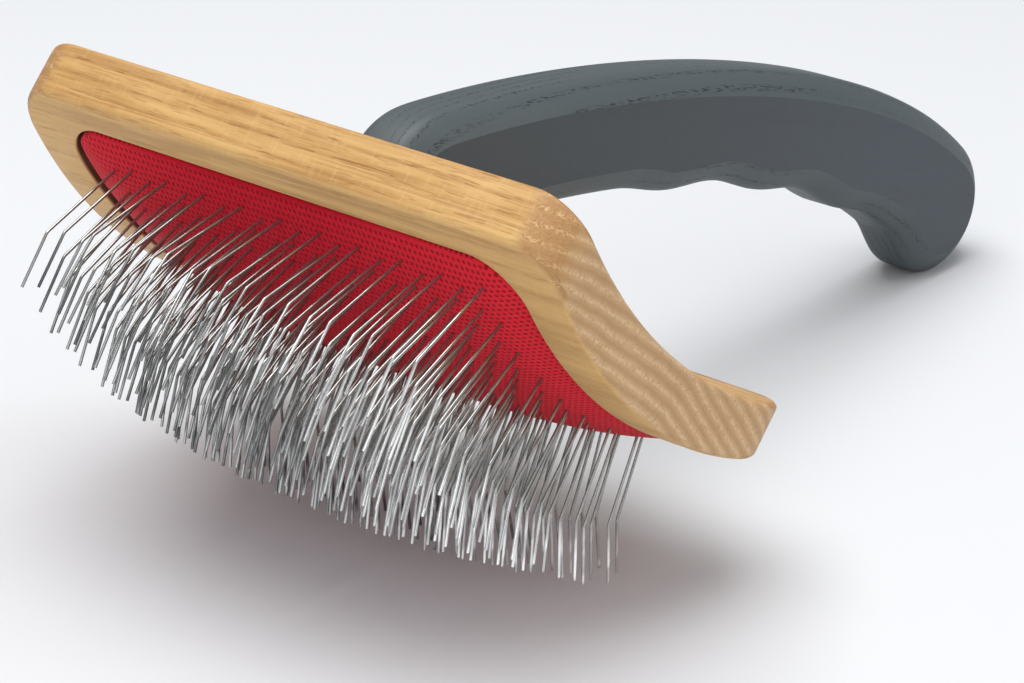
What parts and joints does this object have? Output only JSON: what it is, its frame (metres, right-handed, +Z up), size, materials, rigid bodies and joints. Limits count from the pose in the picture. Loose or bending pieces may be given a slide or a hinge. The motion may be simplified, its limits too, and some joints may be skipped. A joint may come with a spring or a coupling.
{
  "type": "slicker brush",
  "caption": "Curved wooden slicker brush: bent head with a pocketed red pad, rows of bent steel pins and a dark wooden handle with finger ridges.",
  "frame": {"origin": "middle of the bounding box's base, on the floor that the heel row of pins and the butt of the handle stand on", "axes": "+X along the head, side to side; +Y from the toe of the head to the butt of the handle; +Z up"},
  "size_m": [0.11, 0.2114, 0.0793],
  "materials": {
    "head_wood": "satin oiled",
    "handle_wood": "satin stained",
    "screw_steel": "zinc plated",
    "foam": "matte",
    "weave": "woven",
    "pin_steel": "bright"
  },
  "bodies": {
    "root": {"head_board": "head_wood", "handle": "handle_wood", "handle_screws": "screw_steel", "pad_foam": "foam", "pad_facing": "weave", "pin_row_01": "pin_steel", "pin_row_02": "pin_steel", "pin_row_03": "pin_steel", "pin_row_04": "pin_steel", "pin_row_05": "pin_steel", "pin_row_06": "pin_steel", "pin_row_07": "pin_steel", "pin_row_08": "pin_steel", "pin_row_09": "pin_steel", "pin_row_10": "pin_steel", "pin_row_11": "pin_steel", "pin_row_12": "pin_steel", "pin_row_13": "pin_steel", "pin_row_14": "pin_steel", "pin_row_15": "pin_steel", "pin_row_16": "pin_steel"}
  },
  "joints": []
}
